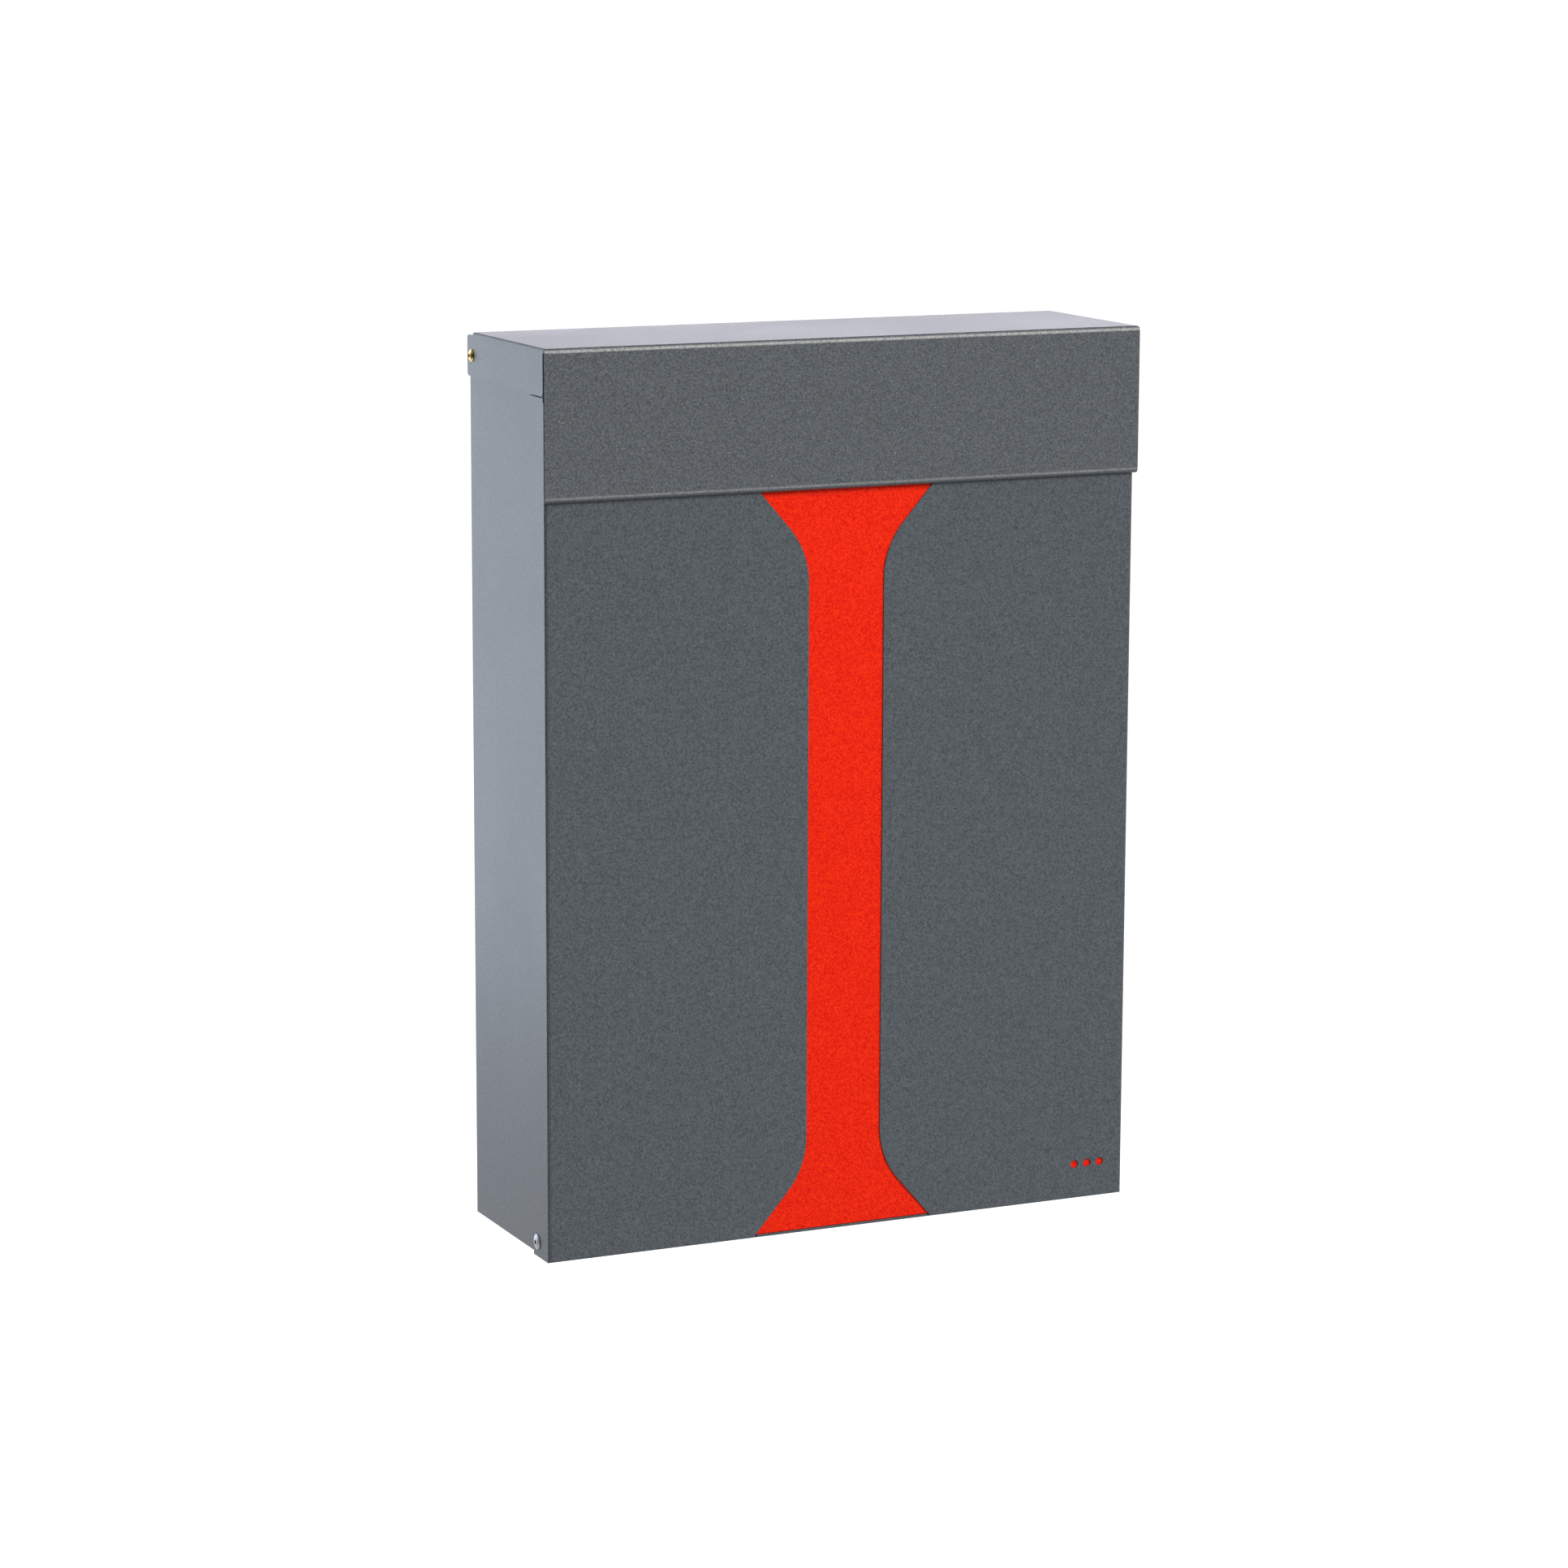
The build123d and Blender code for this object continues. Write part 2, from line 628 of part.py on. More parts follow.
with BuildPart() as cam_screw:
    with BuildSketch(Plane.XZ.offset(-cam_back)):
        with Locations((0, lock_z)):
            Circle(cam_screw_head_radius)
    extrude(amount=-cam_screw_head_height)
    fillet(cam_screw.faces().sort_by(Axis.Y)[-1].edges(), cam_screw_head_round)
    with BuildSketch(Plane.XZ.offset(-cam_back)):
        with Locations((0, lock_z)):
            Circle(cam_screw_radius)
    extrude(amount=cam_screw_length - end_play)
save(cam_screw.part, "cam_screw")
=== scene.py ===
# %% [markdown]
# # A wall letter box of folded sheet steel
# The real object is a shallow grey box that hangs on a wall. Its lid has a deep front flap, and its
# door has a waisted cut-out over a red sheet. The solids already hold every shape that fits or
# moves, so this lesson starts from them and gives each one its finish. Nothing here moves a solid.

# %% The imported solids
from math import cos, pi, radians

import bpy
from mathutils import Matrix, Vector


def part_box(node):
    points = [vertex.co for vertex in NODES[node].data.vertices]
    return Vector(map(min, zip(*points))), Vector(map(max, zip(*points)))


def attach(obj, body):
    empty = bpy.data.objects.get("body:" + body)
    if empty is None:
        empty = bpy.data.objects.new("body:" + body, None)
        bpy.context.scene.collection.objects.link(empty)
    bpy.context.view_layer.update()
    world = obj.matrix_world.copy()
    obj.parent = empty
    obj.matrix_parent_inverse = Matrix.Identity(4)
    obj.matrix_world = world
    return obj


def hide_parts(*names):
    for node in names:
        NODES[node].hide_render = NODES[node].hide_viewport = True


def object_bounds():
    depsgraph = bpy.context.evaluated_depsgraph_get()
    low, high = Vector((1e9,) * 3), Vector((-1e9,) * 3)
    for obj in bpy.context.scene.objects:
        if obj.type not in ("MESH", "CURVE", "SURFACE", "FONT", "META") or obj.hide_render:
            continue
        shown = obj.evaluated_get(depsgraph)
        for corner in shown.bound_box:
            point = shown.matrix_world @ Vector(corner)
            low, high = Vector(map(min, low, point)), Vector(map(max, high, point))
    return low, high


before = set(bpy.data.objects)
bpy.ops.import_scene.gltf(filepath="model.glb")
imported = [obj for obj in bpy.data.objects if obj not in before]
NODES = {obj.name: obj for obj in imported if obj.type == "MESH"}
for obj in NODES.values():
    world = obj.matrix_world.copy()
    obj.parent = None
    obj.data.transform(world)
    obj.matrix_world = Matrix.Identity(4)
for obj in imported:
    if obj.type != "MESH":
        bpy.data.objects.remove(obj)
SOLID_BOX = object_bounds()
print("solids:", len(NODES), "box:", SOLID_BOX)

# %% [markdown]
# ## Camera
# The photographer stood to the left of the box and a little above it, about three metres away,
# with a long lens. A camera can be aimed with a constraint, but a place and three angles say the
# same thing more plainly, and they can be read off a fit of the box's edges. The angles are
# applied in the order in which a tripod head turns: yaw, then pitch, then roll.

# %% Camera at the photographer's place
CAMERA_PLACE = Vector((-1.2340, -2.6958, 0.5397))
CAMERA_YAW = radians(24.908)
CAMERA_PITCH = radians(10.657)
CAMERA_ROLL = radians(0.219)
LENS_MM = 109.73
SENSOR_MM = 36.0
FAR_CLIP = 50.0


def aim_camera():
    """Makes the camera and gives it its place, its angles and its lens."""
    data = bpy.data.cameras.new("photo_camera")
    data.sensor_width = SENSOR_MM
    data.lens = LENS_MM
    data.clip_end = FAR_CLIP
    camera = bpy.data.objects.new("photo_camera", data)
    bpy.context.scene.collection.objects.link(camera)
    turn = Matrix.Rotation(-CAMERA_YAW, 4, "Z")
    turn = turn @ Matrix.Rotation(pi / 2 - CAMERA_PITCH, 4, "X")
    turn = turn @ Matrix.Rotation(CAMERA_ROLL, 4, "Z")
    camera.matrix_world = Matrix.Translation(CAMERA_PLACE) @ turn
    bpy.context.scene.camera = camera
    return camera


camera = aim_camera()
print("camera looks along", camera.matrix_world.to_3x3() @ Vector((0, 0, -1)))

# %% [markdown]
# ## Helpers for node trees
# Every finish and the studio itself are built from shader nodes. Wiring them by hand in code takes
# many lines that all look alike, so a few small helpers do the wiring: one adds a node with its
# settings, one makes a Math node, and one makes a Mix node for two colours. The last one tells the
# rays that show a background from the rays that light the box.

# %% Node helpers


def add_node(tree, kind, **settings):
    """Adds a node and sets the given properties on it."""
    node = tree.nodes.new(kind)
    for key, value in settings.items():
        setattr(node, key, value)
    return node


def feed(tree, value, socket):
    """Gives an input a number or colour, or links another socket to it."""
    if isinstance(value, (int, float, tuple)):
        socket.default_value = value
    else:
        tree.links.new(value, socket)


def maths(tree, operation, first, second):
    """A Math node of two inputs, each a socket or a number, and its result."""
    node = add_node(tree, "ShaderNodeMath", operation=operation)
    feed(tree, first, node.inputs[0])
    feed(tree, second, node.inputs[1])
    return node.outputs["Value"]


def colour_socket(sockets, name):
    """The colour socket of this name on a Mix node, which has number sockets of the same name."""
    return next(item for item in sockets if item.name == name and item.type == "RGBA")


def mix_colours(tree, amount, first, second):
    """Mixes two colours, each a socket or a value, by an amount from 0 to 1."""
    node = add_node(tree, "ShaderNodeMix", data_type="RGBA")
    feed(tree, amount, node.inputs["Factor"])
    feed(tree, first, colour_socket(node.inputs, "A"))
    feed(tree, second, colour_socket(node.inputs, "B"))
    return colour_socket(node.outputs, "Result")


def seen_rays(tree):
    """1 for the rays that show a background: camera, mirror and glass rays. 0 for all others."""
    path = add_node(tree, "ShaderNodeLightPath").outputs
    mirrored = maths(tree, "MAXIMUM", path["Is Glossy Ray"], path["Is Transmission Ray"])
    return maths(tree, "MAXIMUM", path["Is Camera Ray"], mirrored)


print("node helpers ready")

# %% [markdown]
# ## Studio
# The box was lit as a product: a white room with large soft lights. Satin paint shows such a room
# mostly as a pale sheen on the faces that are seen at a flat angle, so the side and the top look
# much lighter than the front although the paint is the same. The world is plain white wherever it
# is seen or mirrored. As a light it has only a third of that strength, so that the soft lights can
# model the box.

# %% White room and plain floor
ROOM_LIGHT = 0.33
ROOM_COLOUR = (0.97, 0.98, 1.0, 1.0)
WHITE = (1.0, 1.0, 1.0, 1.0)
FLOOR_DROP = 0.65
FLOOR_SIZE = 30.0
FLOOR_COLOUR = (0.45, 0.45, 0.45, 1.0)
FLOOR_ROUGHNESS = 0.9
FLOOR_LIFT = 0.90


def white_room():
    """World: plain white to the eye, and a third as strong as a light."""
    world = bpy.data.worlds.new("white_room")
    bpy.context.scene.world = world
    world.use_nodes = True
    tree = world.node_tree
    tree.nodes.clear()
    light = add_node(tree, "ShaderNodeBackground")
    light.inputs["Color"].default_value = ROOM_COLOUR
    light.inputs["Strength"].default_value = ROOM_LIGHT
    seen = add_node(tree, "ShaderNodeBackground")
    seen.inputs["Color"].default_value = WHITE
    mix = add_node(tree, "ShaderNodeMixShader")
    out = add_node(tree, "ShaderNodeOutputWorld")
    tree.links.new(seen_rays(tree), mix.inputs["Fac"])
    tree.links.new(light.outputs["Background"], mix.inputs[1])
    tree.links.new(seen.outputs["Background"], mix.inputs[2])
    tree.links.new(mix.outputs["Shader"], out.inputs["Surface"])


def add_plate(name, width, depth, place):
    """A flat level rectangle, for the floor and for flags."""
    bpy.ops.object.select_all(action="DESELECT")
    bpy.ops.mesh.primitive_plane_add(size=1.0, location=place)
    plate = bpy.context.object
    plate.name = name
    plate.scale = (width, depth, 1.0)
    bpy.ops.object.transform_apply(location=True, rotation=False, scale=True)
    return plate


def plain_floor():
    """A floor well below the hanging box, lifted to full white where it is seen."""
    height = SOLID_BOX[0][2] - FLOOR_DROP
    floor = add_plate("studio_floor", FLOOR_SIZE, FLOOR_SIZE, (0.0, 0.0, height))
    material = bpy.data.materials.new("floor_white")
    material.use_nodes = True
    tree = material.node_tree
    shader = tree.nodes["Principled BSDF"]
    shader.inputs["Base Color"].default_value = FLOOR_COLOUR
    shader.inputs["Roughness"].default_value = FLOOR_ROUGHNESS
    shader.inputs["Specular IOR Level"].default_value = 0.0
    lift = add_node(tree, "ShaderNodeEmission")
    tree.links.new(maths(tree, "MULTIPLY", seen_rays(tree), FLOOR_LIFT), lift.inputs["Strength"])
    both = add_node(tree, "ShaderNodeAddShader")
    tree.links.new(shader.outputs["BSDF"], both.inputs[0])
    tree.links.new(lift.outputs["Emission"], both.inputs[1])
    tree.links.new(both.outputs["Shader"], tree.nodes["Material Output"].inputs["Surface"])
    floor.data.materials.append(material)
    return floor


white_room()
floor = plain_floor()
bpy.context.scene.view_settings.view_transform = "Standard"
print("floor:", floor.name, "at", SOLID_BOX[0][2] - FLOOR_DROP)

# %% [markdown]
# ## Soft lights and dark flags
# One large soft light in front and above models the box: it puts a soft shadow under the flap. One
# low behind the box is mirrored in the top plate, and one behind at the left is mirrored in the
# side, both a little blue, like the window light of the studio. Dark flags overhead, at the left and
# behind the camera give the rounded folds and the metal heads their dark lines. Only mirror rays see
# them, so they take no light away.

# %% Soft lights and flags
# Each light: its place, the point it is aimed at, its width and height, its brightness, its tint
LAMPS = {
    "key_softbox": ((1.2, -4.2, 3.9), (0.0, -0.1, 0.0), (4.0, 2.6), 10.4, (1.0, 1.0, 1.0)),
    "back_softbox": ((1.25, 2.9, 0.72), (0.0, -0.06, 0.25), (3.4, 1.0), 2.2, (0.88, 0.86, 1.02)),
    "left_softbox": ((-1.15, 1.9, 0.26), (-0.2, -0.06, 0.0), (1.8, 2.0), 2.6, (0.75, 0.87, 1.04)),
}
# Each flag: its width and depth, its place, its turn from lying level
FLAGS = {
    "ceiling_flag": ((3.4, 5.4), (0.5, 1.4, 1.6), (0.0, 0.0, 0.0)),
    "left_flag": ((3.0, 3.2), (-2.4, -0.3, 0.0), (0.0, pi / 2, 0.0)),
    "camera_flag": ((3.0, 3.2), (-1.5, -3.1, 0.0), (pi / 2, 0.0, -0.47)),
}
FLAG_GREY = (0.03, 0.03, 0.035, 1.0)


def soft_lamp(name, place, target, size, brightness, tint):
    """A rectangular light of even brightness, aimed at a point and hidden from the camera."""
    data = bpy.data.lights.new(name, "AREA")
    data.shape = "RECTANGLE"
    data.size, data.size_y = size
    data.energy = brightness * pi * size[0] * size[1]
    data.color = tint
    lamp = bpy.data.objects.new(name, data)
    bpy.context.scene.collection.objects.link(lamp)
    aim = (Vector(target) - Vector(place)).to_track_quat("-Z", "Y")
    lamp.location = place
    lamp.rotation_euler = aim.to_euler()
    lamp.visible_camera = False
    return lamp


def dark_flag(name, size, place, turn):
    """A dark sheet that only mirror rays see, turned as given from lying level."""
    flag = add_plate(name, size[0], size[1], (0.0, 0.0, 0.0))
    flag.rotation_euler = turn
    flag.location = place
    material = bpy.data.materials.new(name + "_cloth")
    material.use_nodes = True
    shader = material.node_tree.nodes["Principled BSDF"]
    shader.inputs["Base Color"].default_value = FLAG_GREY
    shader.inputs["Roughness"].default_value = 1.0
    flag.data.materials.append(material)
    flag.visible_camera = False
    flag.visible_diffuse = False
    flag.visible_shadow = False
    return flag


lamps = [soft_lamp(name, *values) for name, values in LAMPS.items()]
flags = [dark_flag(name, *values) for name, values in FLAGS.items()]
print("lights:", [lamp.name for lamp in lamps], "flags:", [flag.name for flag in flags])

# %% [markdown]
# ## Node groups
# An effect that several finishes share is a node group: it is built once and placed in each material
# with its own values. All groups here start from the place on the piece in metres, take a few
# numbers and give out masks from 0 to 1. So one helper makes their sockets, two read a noise, and
# one stretches a part of a mask to the full range.

# %% Helpers for node groups


def start_group(name, inputs, outputs):
    """A node group with a Place, number inputs and number outputs, and the nodes at its two ends."""
    group = bpy.data.node_groups.new(name, "ShaderNodeTree")
    group.interface.new_socket("Place", in_out="INPUT", socket_type="NodeSocketVector")
    for title in inputs:
        group.interface.new_socket(title, in_out="INPUT", socket_type="NodeSocketFloat")
    for title in outputs:
        group.interface.new_socket(title, in_out="OUTPUT", socket_type="NodeSocketFloat")
    source = add_node(group, "NodeGroupInput").outputs
    result = add_node(group, "NodeGroupOutput").inputs
    return group, source, result


def stretch(tree, value, low, high):
    """Maps a value from low..high to 0..1, and holds it there."""
    node = add_node(tree, "ShaderNodeMapRange")
    feed(tree, value, node.inputs["Value"])
    node.inputs["From Min"].default_value = low
    node.inputs["From Max"].default_value = high
    return node.outputs["Result"]


def noise_at(tree, place, scale, detail):
    """Noise at a place, with its scale and detail each a socket or a number."""
    noise = add_node(tree, "ShaderNodeTexNoise", noise_dimensions="3D")
    feed(tree, place, noise.inputs["Vector"])
    feed(tree, scale, noise.inputs["Scale"])
    feed(tree, detail, noise.inputs["Detail"])
    return noise.outputs["Fac"]


def shifted_noise(tree, place, size, detail, shift):
    """Noise whose lumps are about one size, moved so that it differs from other noise."""
    moved = add_node(tree, "ShaderNodeMapping")
    moved.inputs["Location"].default_value = (shift, shift, shift)
    tree.links.new(place, moved.inputs["Vector"])
    return noise_at(tree, moved.outputs["Vector"], 1.0 / size, detail)


print("group helpers ready")

# %% [markdown]
# ## Powder coat
# The sheets carry a fine-textured powder coat: a dark grey or red plastic skin with a pebbled
# surface and paler specks. A picture of the paint would repeat and blur. Noise worked out from the
# place on the piece never does. One node group makes the pebbles' height, their tone, the specks and
# a slow cloudiness, because every painted sheet needs them with its own colours.

# %% Node group for the powder coat's grain
GRAIN_SIZE = 0.0011
GRAIN_DETAIL = 3.0
TONE_SPREAD = 0.26
SPECK_SIZE = 0.0010
SPECK_DETAIL = 1.0
SPECK_SHIFT = 3.0
SPECK_LEVEL = 0.66
SPECK_BLEND = 0.14
CLOUD_SIZE = 0.11
CLOUD_DETAIL = 3.0


def grain_group():
    """Height, tone, specks and slow cloudiness of a powder coat, from a place in metres."""
    group, source, result = start_group("powder_grain", (), ("Height", "Tone", "Speck", "Cloud"))
    place = source["Place"]
    pebbles = noise_at(group, place, 1.0 / GRAIN_SIZE, GRAIN_DETAIL)
    specks = shifted_noise(group, place, SPECK_SIZE, SPECK_DETAIL, SPECK_SHIFT)
    clouds = noise_at(group, place, 1.0 / CLOUD_SIZE, CLOUD_DETAIL)
    tone = stretch(group, pebbles, 0.5 - TONE_SPREAD, 0.5 + TONE_SPREAD)
    speck = stretch(group, specks, SPECK_LEVEL, SPECK_LEVEL + SPECK_BLEND)
    group.links.new(pebbles, result["Height"])
    group.links.new(tone, result["Tone"])
    group.links.new(speck, result["Speck"])
    group.links.new(clouds, result["Cloud"])
    return group


GRAIN = grain_group()
print("group:", GRAIN.name, [socket.name for socket in GRAIN.interface.items_tree])

# %% [markdown]
# ## Fold lines (painted highlight)
# The flap's upper fold and its lip catch the light as a thin pale line. That highlight is painted here,
# as a thin pale line of grain along the flap's upper fold and along its lip. The line could be a strip
# of geometry, but it has no height to speak of, so a mask from the height on the piece does it, kept to
# the front face and broken up by the grain.

# %% Node group for a fold line (painted highlight)
HIGHLIGHT_DETAIL = 1.0
HIGHLIGHT_SHIFT = 7.0
HIGHLIGHT_FADE = (0.1, 0.6)


def axes_of(tree, vector):
    """The X, Y and Z of a vector socket."""
    split = add_node(tree, "ShaderNodeSeparateXYZ")
    tree.links.new(vector, split.inputs["Vector"])
    return split.outputs


def front_sheet(group, depth, source):
    """1 from the front face back to a given depth behind it, 0 further back."""
    behind = maths(group, "SUBTRACT", depth, source["Face"])
    return maths(group, "LESS_THAN", behind, source["Depth"])


def fold_highlight_group():
    """A thin level line of painted highlight on the front face, at a given height and half width, broken
    by noise.
    """
    group, source, result = start_group("painted_fold_highlight", ("Level", "Half Width", "Face", "Depth"), ("Line",))
    axes = axes_of(group, source["Place"])
    above = maths(group, "SUBTRACT", axes["Z"], source["Level"])
    away = maths(group, "ABSOLUTE", above, 0.0)
    near = maths(group, "SUBTRACT", 1.0, maths(group, "DIVIDE", away, source["Half Width"]))
    band = maths(group, "MAXIMUM", near, 0.0)
    front = front_sheet(group, axes["Y"], source)
    grit = shifted_noise(group, source["Place"], GRAIN_SIZE, HIGHLIGHT_DETAIL, HIGHLIGHT_SHIFT)
    broken = stretch(group, grit, *HIGHLIGHT_FADE)
    line = maths(group, "MULTIPLY", maths(group, "MULTIPLY", band, front), broken)
    group.links.new(line, result["Line"])
    return group


FOLD_HIGHLIGHT = fold_highlight_group()
print("group:", FOLD_HIGHLIGHT.name, [socket.name for socket in FOLD_HIGHLIGHT.interface.items_tree])

# %% [markdown]
# ## Cut edges (painted shade)
# The flap's two upright cut edges are painted darker, as painted shade for the shadow that falls at them
# and in the gap beside them, and they are made duller than its face. The edge could be a material slot
# of its own, but the solids keep one slot each, so a mask finds the faces that look sideways within the
# sheet's thickness.

# %% Node group for the painted shade on the flap's cut edges
SIDEWAYS_FADE = (0.3, 0.7)


def edge_shade_group():
    """1 on faces that look to the left or right, no deeper than the sheet behind its face: where the
    painted shade goes.
    """
    group, source, result = start_group("painted_edge_shade", ("Face", "Depth"), ("Edge",))
    axes = axes_of(group, source["Place"])
    looks = axes_of(group, add_node(group, "ShaderNodeNewGeometry").outputs["Normal"])
    sideways = stretch(group, maths(group, "ABSOLUTE", looks["X"], 0.0), *SIDEWAYS_FADE)
    front = front_sheet(group, axes["Y"], source)
    group.links.new(maths(group, "MULTIPLY", sideways, front), result["Edge"])
    return group


EDGE_SHADE = edge_shade_group()
print("group:", EDGE_SHADE.name, [socket.name for socket in EDGE_SHADE.interface.items_tree])

# %% [markdown]
# ## Settled dust
# Even a new box has a breath of dust on what faces up. Dust could be scattered as tiny meshes, but
# a mask from the surface's normal and a noise is enough: it lightens the colour where it lies.

# %% Node group for dust
DUST_SCALE = 60.0
DUST_DETAIL = 5.0


def dust_group():
    """A mask that is strongest on level, upward faces, broken up by noise."""
    group, source, result = start_group("settled_dust", ("Amount",), ("Dust",))
    looks = axes_of(group, add_node(group, "ShaderNodeNewGeometry").outputs["Normal"])
    upward = maths(group, "MAXIMUM", looks["Z"], 0.0)
    patches = noise_at(group, source["Place"], DUST_SCALE, DUST_DETAIL)
    broken = maths(group, "MULTIPLY", upward, patches)
    group.links.new(maths(group, "MULTIPLY", broken, source["Amount"]), result["Dust"])
    return group


DUST = dust_group()
print("group:", DUST.name, [socket.name for socket in DUST.interface.items_tree])

# %% [markdown]
# ## Fine marks
# The small parts are scratched by tools or show the grain of their mould. One plain noise does for
# all of them: each finish sets its scale and detail, and uses it for colour and height, and on
# metal for gloss too.

# %% Node group for fine marks


def marks_group():
    """Fine marks from a place in metres, at a given scale and detail."""
    group, source, result = start_group("fine_marks", ("Scale", "Detail"), ("Marks",))
    marks = noise_at(group, source["Place"], source["Scale"], source["Detail"])
    group.links.new(marks, result["Marks"])
    return group


MARKS = marks_group()
print("group:", MARKS.name, [socket.name for socket in MARKS.interface.items_tree])

# %% [markdown]
# ## Helpers for finishes
# A finish starts from a new material, whose shader stays in the material itself. Groups are placed
# beside it and only send it colours, roughness and height. Object coordinates are read, because
# they ride with a piece that moves.

# %% Material helpers


def start_material(name):
    """A new node material with its shader and the place on the piece in metres."""
    material = bpy.data.materials.new(name)
    material.use_nodes = True
    tree = material.node_tree
    shader = tree.nodes["Principled BSDF"]
    place = add_node(tree, "ShaderNodeTexCoord").outputs["Object"]
    return material, tree, shader, place


def use_group(tree, group, place, values):
    """Places a node group in a material with its own values, and gives its outputs."""
    node = add_node(tree, "ShaderNodeGroup", node_tree=group)
    tree.links.new(place, node.inputs["Place"])
    for name, value in values.items():
        node.inputs[name].default_value = value
    return node.outputs


def raise_surface(tree, shader, mask, distance, strength):
    """Gives the surface a small relief that follows a mask."""
    relief = add_node(tree, "ShaderNodeBump")
    relief.inputs["Strength"].default_value = strength
    relief.inputs["Distance"].default_value = distance
    tree.links.new(mask, relief.inputs["Height"])
    tree.links.new(relief.outputs["Normal"], shader.inputs["Normal"])


print("material helpers ready")

# %% [markdown]
# ## Painted sheets
# One function makes each paint from its two tones, the colour of its specks, its roughness and its
# gloss. The lid's paint is the grey painted lighter, as painted light for the stronger light on the
# flap, and it also gets the painted fold highlights and the painted shade on the flap's cut edges, which
# are placed from the lid's own box and its bend.

# %% Powder-coated paints
DUST_AMOUNT = 0.06
DUST_COLOUR = (0.40, 0.39, 0.38, 1.0)
CLOUD_SPREAD = 0.08
PEBBLE_HEIGHT = 0.00006
# Half width and colour of the painted highlight along the flap's upper fold and its lip
HIGHLIGHT_HALF_WIDTH = 0.0011
FOLD_HIGHLIGHT_COLOUR = (0.62, 0.61, 0.59, 1.0)
# Colour of the painted shade on the flap's cut edges
EDGE_SHADE_COLOUR = (0.02, 0.024, 0.026, 1.0)
EDGE_DULLNESS = 0.5
LID_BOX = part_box("lid")
# Height of the lip's painted highlight, and the strengths of the painted highlights on the lip and the
# upper bend
LIP_HEIGHT = 0.0027
LIP_HIGHLIGHT_STRENGTH = 0.27
BEND_RADIUS = 0.002
BEND_HIGHLIGHT_STRENGTH = 0.8
FACE_DEPTH = 0.0012
SHEET = {"Face": LID_BOX[0][1], "Depth": FACE_DEPTH}
LID_FOLD_HIGHLIGHTS = ((LID_BOX[0][2] + LIP_HEIGHT, LIP_HIGHLIGHT_STRENGTH), (LID_BOX[1][2] - BEND_RADIUS, BEND_HIGHLIGHT_STRENGTH))


def powder_paint(name, dark, light, speck, roughness, gloss, fold_highlights=()):
    """A fine-textured powder coat between two tones, with specks, and with any painted fold highlights
    and the painted edge shade that goes with them.
    """
    material, tree, shader, place = start_material(name)
    grain = use_group(tree, GRAIN, place, {})
    dust = use_group(tree, DUST, place, {"Amount": DUST_AMOUNT})
    tone = mix_colours(tree, grain["Tone"], dark, light)
    colour = mix_colours(tree, grain["Speck"], tone, speck)
    # Painted highlights: each fold line lightens the colour towards a pale grey
    for level, strength in fold_highlights:
        highlight = use_group(tree, FOLD_HIGHLIGHT, place, {"Level": level, "Half Width": HIGHLIGHT_HALF_WIDTH, **SHEET})
        amount = maths(tree, "MULTIPLY", highlight["Line"], strength)
        colour = mix_colours(tree, amount, colour, FOLD_HIGHLIGHT_COLOUR)
    cloudy = maths(tree, "MULTIPLY", grain["Cloud"], CLOUD_SPREAD)
    dull = maths(tree, "ADD", cloudy, roughness - CLOUD_SPREAD / 2)
    if fold_highlights:
        # Painted shade: the flap's upright cut edges are darkened, and also made duller
        edge_shade = use_group(tree, EDGE_SHADE, place, SHEET)
        colour = mix_colours(tree, edge_shade["Edge"], colour, EDGE_SHADE_COLOUR)
        dull = maths(tree, "ADD", dull, maths(tree, "MULTIPLY", edge_shade["Edge"], EDGE_DULLNESS))
    dusty = mix_colours(tree, dust["Dust"], colour, DUST_COLOUR)
    tree.links.new(dusty, shader.inputs["Base Color"])
    tree.links.new(dull, shader.inputs["Roughness"])
    raise_surface(tree, shader, grain["Height"], PEBBLE_HEIGHT, 1.0)
    shader.inputs["Specular IOR Level"].default_value = gloss
    return material


GREY_PAINT = powder_paint(
    "grey_powder_coat", dark=(0.030, 0.037, 0.044, 1.0), light=(0.110, 0.124, 0.138, 1.0),
    speck=(0.23, 0.23, 0.225, 1.0), roughness=0.37, gloss=0.25)
# The lid's paint is the grey painted lighter: painted light for the stronger key light on the flap
LID_PAINT_LIT = powder_paint(
    "lid_powder_coat_lit", dark=(0.030, 0.036, 0.041, 1.0), light=(0.134, 0.146, 0.156, 1.0),
    speck=(0.32, 0.32, 0.30, 1.0), roughness=0.37, gloss=0.25, fold_highlights=LID_FOLD_HIGHLIGHTS)
RED_PAINT = powder_paint(
    "red_powder_coat", dark=(0.60, 0.001, 0.001, 1.0), light=(1.0, 0.034, 0.004, 1.0),
    speck=(1.0, 0.07, 0.02, 1.0), roughness=0.50, gloss=0.10)
print("paints:", GREY_PAINT.name, LID_PAINT_LIT.name, RED_PAINT.name)

# %% [markdown]
# ## Metals, rubber and nylon
# The small parts have plain finishes: bright zinc on the nuts and studs, yellow zinc on the lid's
# screws, bare aluminium on the rivets and chrome on the lock. Their colour is steady, and the fine
# scratches and pits are in tint, roughness and height. The flap's pads are rubber, and the washers
# and spacers are nylon, both matte and nearly black.

# %% Finishes of the small parts
METAL_DETAIL = 4.0
GLOSS_SPREAD = 0.25
SCRATCH_STRENGTH = 0.6
MOULD_DETAIL = 3.0
MOULD_GRAIN_HEIGHT = 0.00005


